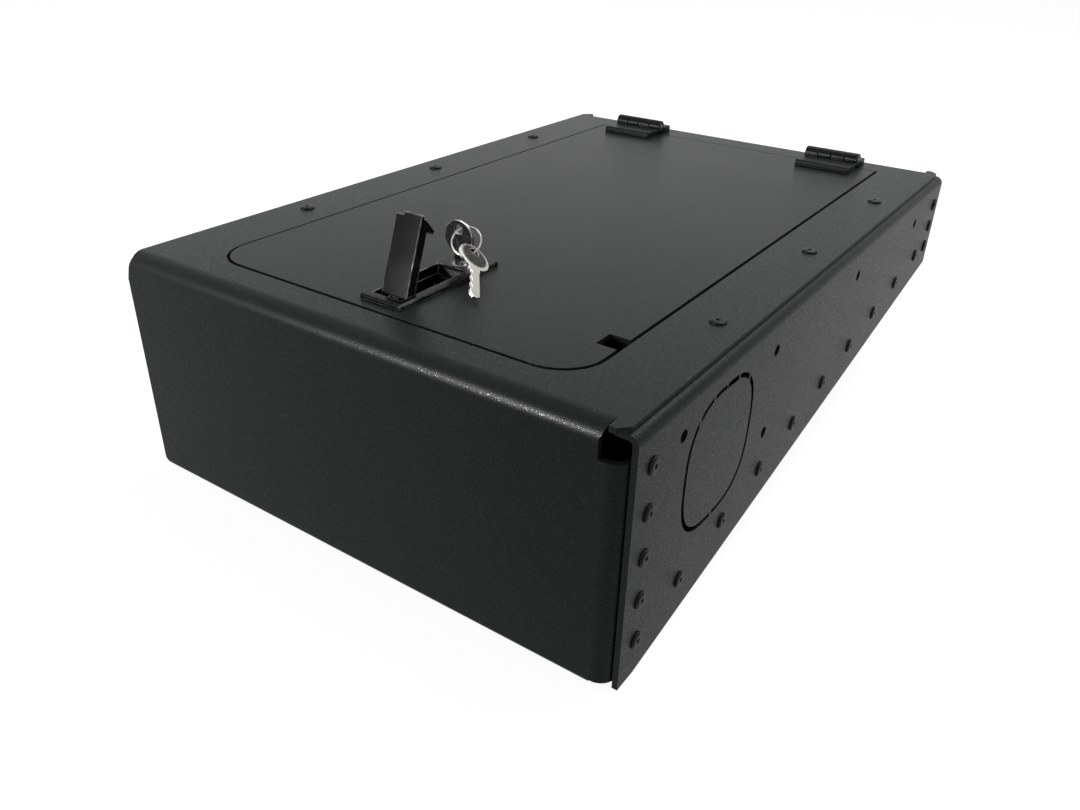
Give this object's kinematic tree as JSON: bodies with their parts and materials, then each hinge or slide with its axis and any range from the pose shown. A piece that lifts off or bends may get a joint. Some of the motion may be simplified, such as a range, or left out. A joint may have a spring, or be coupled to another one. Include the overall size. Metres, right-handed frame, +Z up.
{
  "type": "vehicle security locker",
  "caption": "Flat steel lock box for a vehicle, with a sloped underside, a flush hinged lid, a lift-lever key latch and a cable notch.",
  "frame": {"origin": "middle of the footprint of the whole part, at the height that its flat front strip stands on", "axes": "+Z up, -Y towards the front wall, +X towards the side with the cable notch"},
  "size_m": [0.35, 0.509, 0.1928],
  "materials": {
    "black_powder_coat": "fine-textured satin black powder coat on sheet steel",
    "black_rivet": "satin black blind rivets",
    "hinge_black": "satin black cast hinge leaves",
    "latch_gloss_black": "gloss black coating on die-cast zinc",
    "zinc_steel": "plain zinc-plated steel",
    "nickel": "bright nickel plate with fine scratches",
    "wafer_brass": "plain brass"
  },
  "bodies": {
    "root": {"wrapper_sheet": "black_powder_coat", "side_panel_left": "black_powder_coat", "side_panel_right": "black_powder_coat", "floor_pan": "black_powder_coat", "catch_plate": "black_powder_coat", "front_rivets": "black_rivet", "rear_rivets": "black_rivet", "floor_rivets": "black_rivet", "top_rivets": "black_rivet", "hinge_left_body_leaf": "hinge_black", "hinge_right_body_leaf": "hinge_black", "hinge_left_pin": "zinc_steel", "hinge_right_pin": "zinc_steel", "body_hinge_nuts": "zinc_steel"},
    "lid": {"lid_panel": "black_powder_coat", "hinge_left_lid_leaf": "hinge_black", "hinge_right_lid_leaf": "hinge_black", "lid_hinge_nuts": "zinc_steel", "latch_housing": "latch_gloss_black", "clamp_brackets": "zinc_steel", "clamp_screws": "zinc_steel", "lever_pin": "zinc_steel", "lock_barrel": "latch_gloss_black", "lock_nut": "zinc_steel"},
    "lever": {"latch_lever": "latch_gloss_black", "latch_pawl": "zinc_steel", "pawl_screw": "zinc_steel"},
    "plug": {"lock_plug": "nickel", "lock_wafers": "wafer_brass", "lock_cam": "zinc_steel", "cam_clip": "zinc_steel"},
    "key": {"key_in_lock": "nickel"},
    "ring": {"split_ring": "nickel"},
    "spare": {"spare_key": "nickel"}
  },
  "joints": [
    {"name": "lid_open", "type": "hinge", "parent": "root", "child": "lid", "pos_m": [0, 0.222, 0.1555], "axis": [-1, 0, 0], "range_deg": [0, 105]},
    {"name": "lever_close", "type": "hinge", "parent": "lid", "child": "lever", "pos_m": [0, -0.2059, 0.1489], "axis": [-1, 0, 0], "range_deg": [0, 70]},
    {"name": "key_turn", "type": "hinge", "parent": "lid", "child": "plug", "pos_m": [0, -0.1529, 0.1523], "axis": [0, 0, 1], "range_deg": [0, 90]},
    {"name": "key_pull", "type": "slide", "parent": "plug", "child": "key", "axis": [0, 0, 1], "range_m": [0, 0.024]},
    {"name": "ring_swing", "type": "hinge", "parent": "key", "child": "ring", "pos_m": [0, -0.1529, 0.1727], "axis": [0, -1, 0], "range_deg": [0, 40]},
    {"name": "spare_swing", "type": "hinge", "parent": "ring", "child": "spare", "pos_m": [0.0137, -0.15731, 0.16275], "axis": [-0.6131, -0.2288, -0.7561], "range_deg": [0, 20]}
  ]
}
